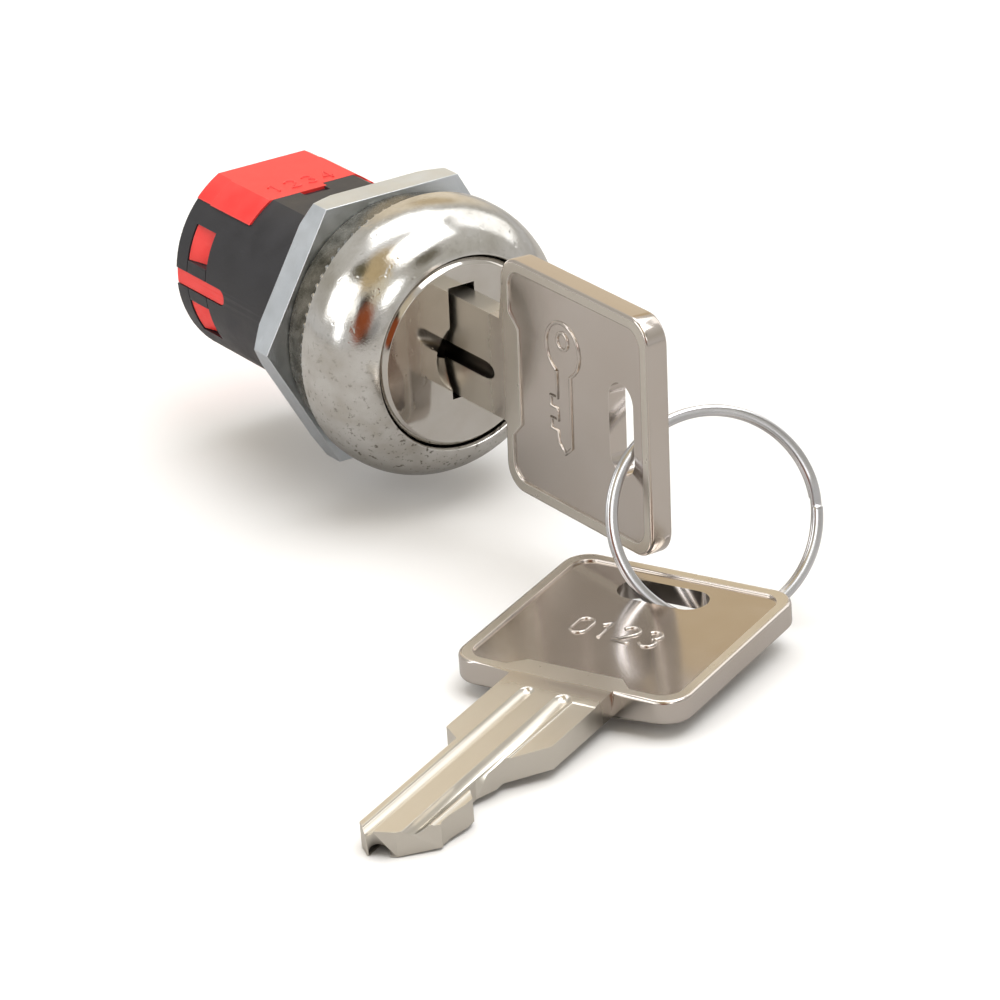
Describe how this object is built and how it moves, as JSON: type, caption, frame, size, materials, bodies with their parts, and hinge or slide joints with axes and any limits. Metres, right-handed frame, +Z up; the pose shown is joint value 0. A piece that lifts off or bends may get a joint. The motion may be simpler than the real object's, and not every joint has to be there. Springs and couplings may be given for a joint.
{
  "type": "selector key switch",
  "caption": "Panel keylock switch: domed plated head, hex nut, black and red contact block, key in the lock and a spare key on a split ring.",
  "frame": {"origin": "lock axis at the plane of the flange's rear rim, which rests on the panel", "axes": "+Y along the lock axis to the rear, the key goes in from -Y; +Z up, through the flat top of the contact block; +X to the right of a user facing the panel"},
  "size_m": [0.0516, 0.0791, 0.0261],
  "materials": {
    "lock_housing": "bright nickel plate over a die casting",
    "toothed_washer": "plated spring steel",
    "spacer_ring": "turned, dull nickel plate",
    "hex_nut": "satin zinc plate",
    "key_plug": "nickel plate, polished face",
    "plug_clip": "phosphated spring steel",
    "drive_tang": "plain steel",
    "wafer_tumblers": "stamped brass",
    "wafer_springs": "spring wire",
    "switch_shell": "moulded black plastic",
    "contact_base": "moulded red plastic",
    "drive_rotor": "moulded natural nylon",
    "detent_ball": "polished steel",
    "detent_spring": "spring wire",
    "contact_bridges": "bronze strip",
    "bridge_springs": "spring wire",
    "solder_terminals": "tinned brass",
    "inserted_key": "nickel plated key brass",
    "spare_key": "nickel plated key brass",
    "split_ring": "polished spring steel"
  },
  "bodies": {
    "lock_body": {"lock_housing": "lock_housing", "switch_shell": "switch_shell", "contact_base": "contact_base", "solder_terminals": "solder_terminals"},
    "washers": {"toothed_washer": "toothed_washer", "spacer_ring": "spacer_ring"},
    "nut": {"hex_nut": "hex_nut"},
    "plug": {"key_plug": "key_plug", "plug_clip": "plug_clip", "drive_tang": "drive_tang", "wafer_springs": "wafer_springs"},
    "tumblers": {"wafer_tumblers": "wafer_tumblers"},
    "rotor": {"drive_rotor": "drive_rotor", "contact_bridges": "contact_bridges", "bridge_springs": "bridge_springs", "detent_spring": "detent_spring"},
    "ball": {"detent_ball": "detent_ball"},
    "key": {"inserted_key": "inserted_key"},
    "ring": {"split_ring": "split_ring"},
    "spare": {"spare_key": "spare_key"}
  },
  "joints": [
    {"name": "washer_travel", "type": "slide", "parent": "lock_body", "child": "washers", "axis": [0, 1, 0], "range_m": [0, 0.0025]},
    {"name": "nut_turn", "type": "hinge", "parent": "washers", "child": "nut", "pos_m": [0, 0.0048, 0], "axis": [0, 1, 0], "range_deg": [0, 901]},
    {"name": "plug_turn", "type": "hinge", "parent": "lock_body", "child": "plug", "pos_m": [0, 0, 0], "axis": [0, 1, 0], "range_deg": [0, 90]},
    {"name": "tumbler_drop", "type": "slide", "parent": "plug", "child": "tumblers", "axis": [0, 0, -1], "range_m": [0, 0.0005], "deforming": ["wafer_springs"]},
    {"name": "key_slide", "type": "slide", "parent": "plug", "child": "key", "axis": [0, -1, 0], "range_m": [0, 0.026]},
    {"name": "rotor_turn", "type": "hinge", "parent": "lock_body", "child": "rotor", "pos_m": [0, 0.017, 0], "axis": [0, 1, 0], "range_deg": [0, 90]},
    {"name": "ball_press", "type": "slide", "parent": "rotor", "child": "ball", "axis": [1, 0, 0], "range_m": [0, 0.0004], "stiffness_N_per_m": 3, "deforming": ["detent_spring"]},
    {"name": "ring_swing", "type": "hinge", "parent": "key", "child": "ring", "pos_m": [0.00006, -0.02907, -0.00054], "axis": [-0.7927, -0.0021, -0.6096], "range_deg": [-20, 30]},
    {"name": "spare_slides_on_ring", "type": "hinge", "parent": "ring", "child": "spare", "pos_m": [0.00432, -0.0333, -0.00606], "axis": [-0.3148, -0.8548, 0.4125], "range_deg": [-5, 45]}
  ],
  "couplings": [
    {"joint": "nut_turn", "follows": "washer_travel", "rad_per_m": 6283.2},
    {"joint": "rotor_turn", "follows": "plug_turn", "ratio": 1},
    {"joint": "tumbler_drop", "follows": "key_slide", "ratio": 0.0173}
  ]
}
